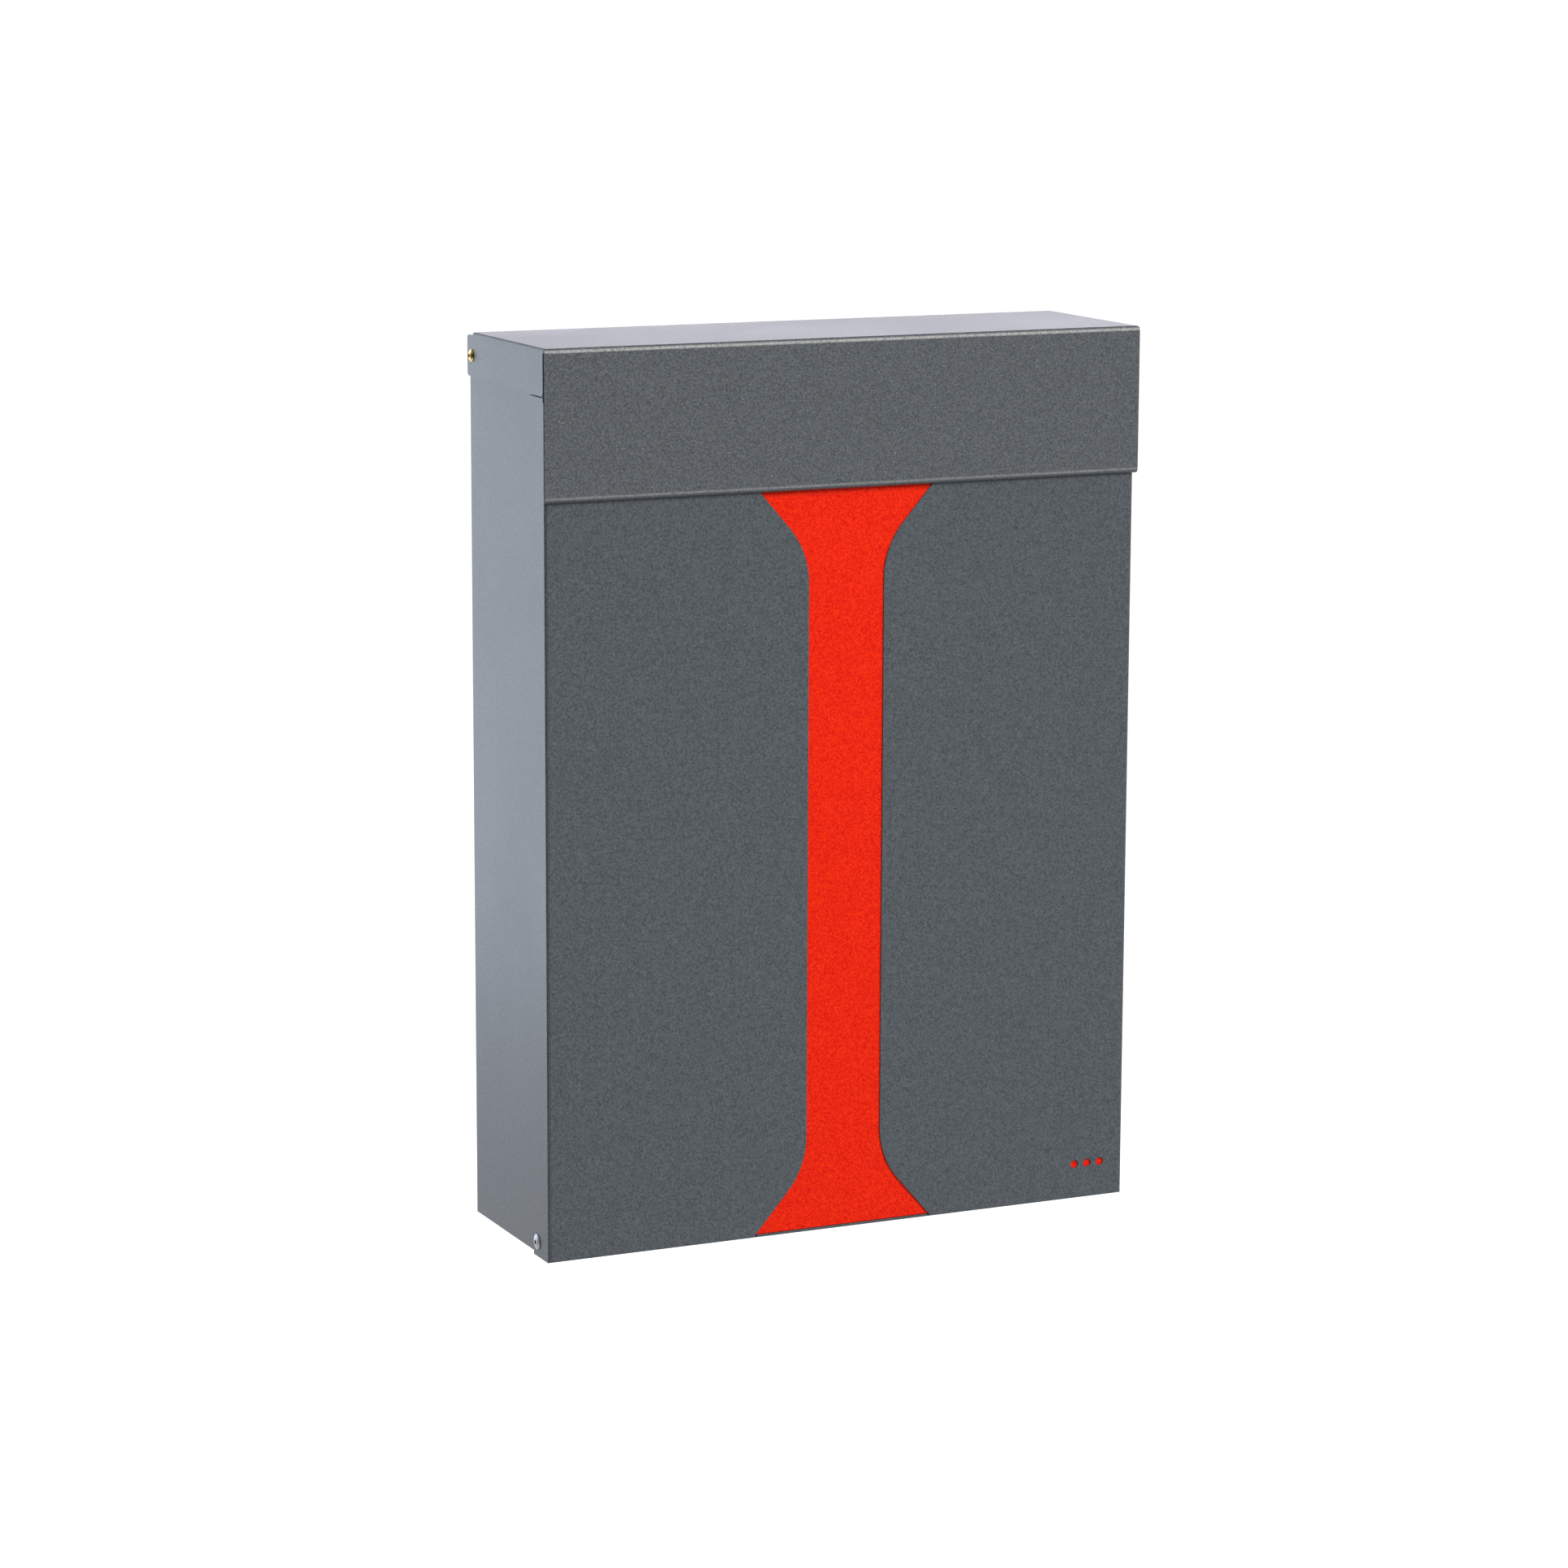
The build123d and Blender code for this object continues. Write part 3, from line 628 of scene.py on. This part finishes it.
def metal(name, dark, light, roughness, mark_size, mark_height):
    """A metal with cloudy tint, uneven gloss and fine marks."""
    material, tree, shader, place = start_material(name)
    shader.inputs["Metallic"].default_value = 1.0
    marks = use_group(tree, MARKS, place, {"Scale": 1.0 / mark_size, "Detail": METAL_DETAIL})["Marks"]
    tree.links.new(mix_colours(tree, marks, dark, light), shader.inputs["Base Color"])
    uneven = maths(tree, "MULTIPLY", marks, GLOSS_SPREAD)
    tree.links.new(maths(tree, "ADD", uneven, roughness), shader.inputs["Roughness"])
    raise_surface(tree, shader, marks, mark_height, SCRATCH_STRENGTH)
    return material


def soft_plastic(name, dark, light, roughness, grain_size):
    """A matte rubber or nylon with a fine moulded grain."""
    material, tree, shader, place = start_material(name)
    marks = use_group(tree, MARKS, place, {"Scale": 1.0 / grain_size, "Detail": MOULD_DETAIL})["Marks"]
    tree.links.new(mix_colours(tree, marks, dark, light), shader.inputs["Base Color"])
    shader.inputs["Roughness"].default_value = roughness
    raise_surface(tree, shader, marks, MOULD_GRAIN_HEIGHT, 1.0)
    return material


ZINC = metal(
    "bright_zinc", dark=(0.46, 0.48, 0.51, 1.0), light=(0.62, 0.63, 0.65, 1.0),
    roughness=0.24, mark_size=0.0006, mark_height=0.00001)
YELLOW_ZINC = metal(
    "yellow_zinc", dark=(0.46, 0.30, 0.08, 1.0), light=(0.62, 0.46, 0.19, 1.0),
    roughness=0.16, mark_size=0.0008, mark_height=0.00001)
ALUMINIUM = metal(
    "rivet_aluminium", dark=(0.22, 0.21, 0.225, 1.0), light=(0.34, 0.33, 0.34, 1.0),
    roughness=0.28, mark_size=0.0007, mark_height=0.00002)
CHROME = metal(
    "lock_chrome", dark=(0.24, 0.245, 0.26, 1.0), light=(0.36, 0.365, 0.38, 1.0),
    roughness=0.09, mark_size=0.004, mark_height=0.000003)
PIN_STEEL = metal(
    "pin_steel", dark=(0.10, 0.10, 0.105, 1.0), light=(0.17, 0.165, 0.16, 1.0),
    roughness=0.4, mark_size=0.0005, mark_height=0.00002)
RUBBER = soft_plastic(
    "black_rubber", dark=(0.016, 0.016, 0.017, 1.0), light=(0.03, 0.03, 0.03, 1.0),
    roughness=0.75, grain_size=0.0006)
NYLON = soft_plastic(
    "black_nylon", dark=(0.022, 0.022, 0.024, 1.0), light=(0.05, 0.05, 0.05, 1.0),
    roughness=0.45, grain_size=0.0004)
SMALL_FINISHES = (ZINC, YELLOW_ZINC, ALUMINIUM, CHROME, PIN_STEEL, RUBBER, NYLON)
print("small finishes:", [finish.name for finish in SMALL_FINISHES])

# %% [markdown]
# ## Turned pieces
# Screws, studs and nuts are turned on a lathe, so each starts as a disc that is drawn out along its
# axis, ring by ring, and widened or narrowed at each ring. Threads could be true helices, but on
# pieces a few millimetres thick round ridges look the same and stay closed. What isn't round, such
# as a nut's six flats or a screw's cross, is made by a Boolean that meets or cuts the turned blank.

# %% Turning and carving
MM = 1000.0


def only(piece):
    """Selects one piece and nothing else, and makes it the active one."""
    bpy.ops.object.select_all(action="DESELECT")
    bpy.context.view_layer.objects.active = piece
    piece.select_set(True)


def turned(name, place, axis, rings, sides=32, spin=0.0):
    """A turned piece: a disc drawn out along X or Y through rings of (distance, radius)."""
    bpy.ops.object.select_all(action="DESELECT")
    lay_down = Matrix.Rotation(spin, 3, axis) @ Matrix.Rotation(pi / 2, 3, "Y" if axis == "X" else "X")
    bpy.ops.mesh.primitive_circle_add(vertices=sides, radius=rings[0][1], fill_type="NGON",
                                      location=(0.0, 0.0, 0.0), rotation=lay_down.to_euler())
    piece = bpy.context.object
    piece.name = name
    bpy.ops.object.transform_apply(location=False, rotation=True, scale=False)
    along = Vector((1.0, 0.0, 0.0)) if axis == "X" else Vector((0.0, 1.0, 0.0))
    across = Vector((1.0, 1.0, 1.0)) - along
    bpy.ops.object.mode_set(mode="EDIT")
    bpy.ops.mesh.select_all(action="SELECT")
    bpy.ops.transform.translate(value=Vector(place) + along * rings[0][0])
    for (start, small), (stop, wide) in zip(rings, rings[1:]):
        bpy.ops.mesh.extrude_region_move(TRANSFORM_OT_translate={"value": along * (stop - start)})
        bpy.ops.transform.resize(value=along + across * (wide / small),
                                 center_override=Vector(place) + along * stop)
    bpy.ops.mesh.select_all(action="SELECT")
    bpy.ops.mesh.normals_make_consistent(inside=False)
    bpy.ops.object.mode_set(mode="OBJECT")
    return piece


def carve(piece, tool, operation):
    """Cuts a piece with a tool, or keeps only what both share, and removes the tool."""
    step = piece.modifiers.new("carve", "BOOLEAN")
    step.operation = operation
    step.object = tool
    only(piece)
    bpy.ops.object.modifier_apply(modifier=step.name)
    bpy.data.objects.remove(tool)


def copied(piece, shift):
    """A copy of a piece with its own mesh, moved by a shift within that mesh."""
    twin = piece.copy()
    twin.data = piece.data.copy()
    twin.data.transform(Matrix.Translation(shift))
    bpy.context.scene.collection.objects.link(twin)
    return twin


def finish_piece(piece, finish, body, node, angle):
    """Gives a new piece its finish, its body and smooth round faces, and hides the solid it stands for.
    """
    only(piece)
    bpy.ops.object.shade_smooth_by_angle(angle=radians(angle))
    piece.data.materials.clear()
    piece.data.materials.append(finish)
    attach(piece, body)
    if node:
        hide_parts(node)
    low = [round(min(corner[i] for corner in piece.bound_box) * MM, 2) for i in range(3)]
    high = [round(max(corner[i] for corner in piece.bound_box) * MM, 2) for i in range(3)]
    print(piece.name, "from", low, "to", high, "mm")


print("lathe and Boolean helpers ready")

# %% [markdown]
# ## Weld studs
# Six M4 studs are welded behind the door's skin and carry the red sheet. Each has a flat weld foot,
# a rolled thread and a turned point. One is drawn out ring by ring, then copied to the other five
# places, which are read off the solid's box because they stand in two columns and three rows. The
# solid they stand for is one node, so the six become one object.

# %% Threaded weld studs
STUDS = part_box("liner_studs")
FOOT_RADIUS = 0.0026
FOOT_THICKNESS = 0.0004
CREST_RADIUS = 0.0020
ROOT_RADIUS = 0.0017
PITCH = 0.0007
THREAD_START = 0.0002
THREAD_STOP = 0.0005
POINT_LENGTH = 0.0004
POINT_SHARE = 0.75
STUD_SIDES = 24
STUD_ANGLE = 25
STUD_LENGTH = STUDS[1][1] - STUDS[0][1]
COLUMN = STUDS[1][0] - FOOT_RADIUS
ROWS = (STUDS[0][2] + FOOT_RADIUS, (STUDS[0][2] + STUDS[1][2]) / 2, STUDS[1][2] - FOOT_RADIUS)
PLACES = [(side * COLUMN, STUDS[0][1], row) for row in ROWS for side in (-1, 1)]


def thread_rings(start, stop):
    """Rings of root and crest along a thread."""
    turns = int((stop - start) / PITCH)
    return [(start + (i + part) * PITCH, radius) for i in range(turns)
            for part, radius in ((0.0, ROOT_RADIUS), (0.5, CREST_RADIUS))]


def at_all_studs(first):
    """The piece at the first stud and its copies at the other five, made one object."""
    copies = [copied(first, Vector(place) - Vector(PLACES[0])) for place in PLACES[1:]]
    only(first)
    for twin in copies:
        twin.select_set(True)
    bpy.ops.object.join()
    return first


def weld_studs():
    """One stud with its foot, thread and point, at six places."""
    rings = [(0.0, FOOT_RADIUS), (FOOT_THICKNESS, FOOT_RADIUS), (FOOT_THICKNESS, ROOT_RADIUS)]
    rings += thread_rings(FOOT_THICKNESS + THREAD_START, STUD_LENGTH - THREAD_STOP)
    rings += [(STUD_LENGTH - POINT_LENGTH, ROOT_RADIUS), (STUD_LENGTH, ROOT_RADIUS * POINT_SHARE)]
    return at_all_studs(turned("weld_studs", PLACES[0], "Y", rings, STUD_SIDES))


finish_piece(weld_studs(), ZINC, "door", "liner_studs", STUD_ANGLE)

# %% [markdown]
# ## Hexagon nuts
# A real nut is a slice of hexagon bar whose corners are turned off to a shallow cone. The same is
# done here: a six-sided bar meets a turned blank with coned ends, and a round tool cuts the hole. The
# studs' nuts, the lid screws' nuts and the large lock nut differ only in their sizes.

# %% Nuts with turned corners
NUT_FLATS = 0.0070
LOCK_NUT_FLATS = 0.0190
LOCK_BARREL_RADIUS = 0.0080
HOLE_GAP = 0.00005
PAST_END = 0.0005
END_FACE_SHARE = 0.48
CONE_SHARE = 0.6
BLANK_SHARE = 1.01
NUT_SIDES = 48
NUT_ANGLE = 20


def hex_nut(name, place, axis, flats, thickness, hole):
    """A hexagon nut with coned ends, from one end's centre along an axis."""
    corner = flats / 2 / cos(pi / 6)
    cone = (corner - flats / 2) * CONE_SHARE
    face = flats * END_FACE_SHARE
    wide = corner * BLANK_SHARE
    rings = [(0.0, face), (cone, wide), (thickness - cone, wide), (thickness, face)]
    blank = turned(name, place, axis, rings, NUT_SIDES)
    ends = [(-PAST_END, corner), (thickness + PAST_END, corner)]
    flat_on_top = pi / 2 if axis == "Y" else 0.0
    bar = turned("bar", place, axis, ends, 6, flat_on_top)
    carve(blank, bar, "INTERSECT")
    drill = turned("drill", place, axis, [(-PAST_END, hole), (thickness + PAST_END, hole)])
    carve(blank, drill, "DIFFERENCE")
    return blank


def stud_nuts():
    """One nut on a stud, at six places."""
    low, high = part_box("liner_nuts")
    place = (PLACES[0][0], low[1], PLACES[0][2])
    nut = hex_nut("stud_nuts", place, "Y", NUT_FLATS, high[1] - low[1], CREST_RADIUS + HOLE_GAP)
    return at_all_studs(nut)


def hinge_nut(word):
    """The nut on the lid's left or right screw."""
    low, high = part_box("lid_nut_" + word)
    place = (low[0], (low[1] + high[1]) / 2, (low[2] + high[2]) / 2)
    thickness = high[0] - low[0]
    return hex_nut("hinge_nut_" + word, place, "X", NUT_FLATS, thickness, CREST_RADIUS + HOLE_GAP)


def barrel_nut():
    """The large nut that holds the lock's barrel in the door."""
    low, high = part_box("lock_nut")
    place = (0.0, low[1], (low[2] + high[2]) / 2)
    hole = LOCK_BARREL_RADIUS + HOLE_GAP
    return hex_nut("barrel_nut", place, "Y", LOCK_NUT_FLATS, high[1] - low[1], hole)


finish_piece(stud_nuts(), ZINC, "door", "liner_nuts", NUT_ANGLE)
for word in ("left", "right"):
    finish_piece(hinge_nut(word), ZINC, "casing", "lid_nut_" + word, NUT_ANGLE)
finish_piece(barrel_nut(), ZINC, "door", "lock_nut", NUT_ANGLE)

# %% [markdown]
# ## Cam screw
# The cam is held by a round-headed screw with a cross in it, which shows when the door is open. The
# head's round top could be a piece of a sphere, but a few narrowing rings give it with the rest of
# the turning. Two thin blocks cut the cross.

# %% Cam screw with its cross
CROSS_WIDTH = 0.0010
CROSS_LENGTH = 0.0052
CROSS_DEPTH = 0.0011
HEAD_RADIUS = 0.0055
HEAD_HEIGHT = 0.0020
# Rings of the head's round top: height above its seat, share of its radius
HEAD_TOP = ((0.0009, 1.0), (0.0014, 0.96), (0.0018, 0.86), (HEAD_HEIGHT, 0.68))
SHANK_RADIUS = 0.0015
SHANK_POINT_LENGTH = 0.0004
SHANK_POINT_SHARE = 0.8
SCREW_SIDES = 40
SCREW_ANGLE = 30


def crossed_screw():
    """A round-headed screw along Y with a cross cut in its head."""
    low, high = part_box("cam_screw")
    seat = high[1] - low[1] - HEAD_HEIGHT
    place = (0.0, low[1], (low[2] + high[2]) / 2)
    rings = [(0.0, SHANK_RADIUS * SHANK_POINT_SHARE), (SHANK_POINT_LENGTH, SHANK_RADIUS)]
    rings += [(seat, SHANK_RADIUS), (seat, HEAD_RADIUS)]
    rings += [(seat + rise, HEAD_RADIUS * share) for rise, share in HEAD_TOP]
    screw = turned("crossed_screw", place, "Y", rings, SCREW_SIDES)
    for width, height in ((CROSS_LENGTH, CROSS_WIDTH), (CROSS_WIDTH, CROSS_LENGTH)):
        bpy.ops.object.select_all(action="DESELECT")
        bpy.ops.mesh.primitive_cube_add(size=1.0, location=(0.0, high[1], place[2]))
        block = bpy.context.object
        block.scale = (width, 2 * CROSS_DEPTH, height)
        bpy.ops.object.transform_apply(location=True, rotation=False, scale=True)
        carve(screw, block, "DIFFERENCE")
    return screw


finish_piece(crossed_screw(), ZINC, "lock", "cam_screw", SCREW_ANGLE)

# %% [markdown]
# ## Broken rivet pins
# A blind rivet is pulled tight by a steel pin, which then breaks off a little below the face of the
# head. The stub that stays inside could be a dark spot of paint, but it lies deeper than the head and
# has a blunt end of its own, so it is turned like the other small pieces.

# %% Broken pins in the rivets
PIN_RADIUS = 0.0013
PIN_DEPTH = 0.0008
# Rings of the pin's broken end: distance short of its tip, share of its radius
PIN_END = ((0.0005, 1.0), (0.0002, 0.8), (0.0, 0.5))
PIN_SIDES = 24
PIN_ANGLE = 40


def rivet_pin(word, side):
    """The stub of the pin in the left or right rivet, drawn out from its inner end."""
    low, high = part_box("door_rivet_" + word)
    inside = high[0] if side < 0 else low[0]
    length = high[0] - low[0] - PIN_DEPTH
    place = (inside, (low[1] + high[1]) / 2, (low[2] + high[2]) / 2)
    rings = [(0.0, PIN_RADIUS)]
    rings += [(side * (length - short), PIN_RADIUS * share) for short, share in PIN_END]
    return turned("rivet_pin_" + word, place, "X", rings, PIN_SIDES)


for side, word in ((-1, "left"), (1, "right")):
    finish_piece(rivet_pin(word, side), PIN_STEEL, "casing", None, PIN_ANGLE)

# %% [markdown]
# ## Dressing the solids
# Each solid keeps its mesh and gets its finish in its material slots. A table of pieces and finishes
# reads like a parts list, and a loop does the rest.

# %% Finish of each solid
FINISHES = {
    "casing": GREY_PAINT,
    "floor_tray": GREY_PAINT,
    "cross_rail": GREY_PAINT,
    "door_skin": GREY_PAINT,
    "lid": LID_PAINT_LIT,
    "door_liner": RED_PAINT,
    "liner_studs": ZINC,
    "liner_nuts": ZINC,
    "lid_nut_left": ZINC,
    "lid_nut_right": ZINC,
    "lock_nut": ZINC,
    "lock_cam": ZINC,
    "cam_screw": ZINC,
    "lid_screw_left": YELLOW_ZINC,
    "lid_screw_right": YELLOW_ZINC,
    "door_rivet_left": ALUMINIUM,
    "door_rivet_right": ALUMINIUM,
    "lock_housing": CHROME,
    "lock_plug": CHROME,
    "flap_pads": RUBBER,
    "wall_spacers": NYLON,
    "lid_washer_left": NYLON,
    "lid_washer_right": NYLON,
    "door_washer_left": NYLON,
    "door_washer_right": NYLON,
}


def dress(node, finish):
    """Puts one finish in every material slot of a solid."""
    if not node.material_slots:
        node.data.materials.append(finish)
    for slot in node.material_slots:
        slot.material = finish


for name, finish in FINISHES.items():
    dress(NODES[name], finish)
print("left undressed:", sorted(set(NODES) - set(FINISHES)))
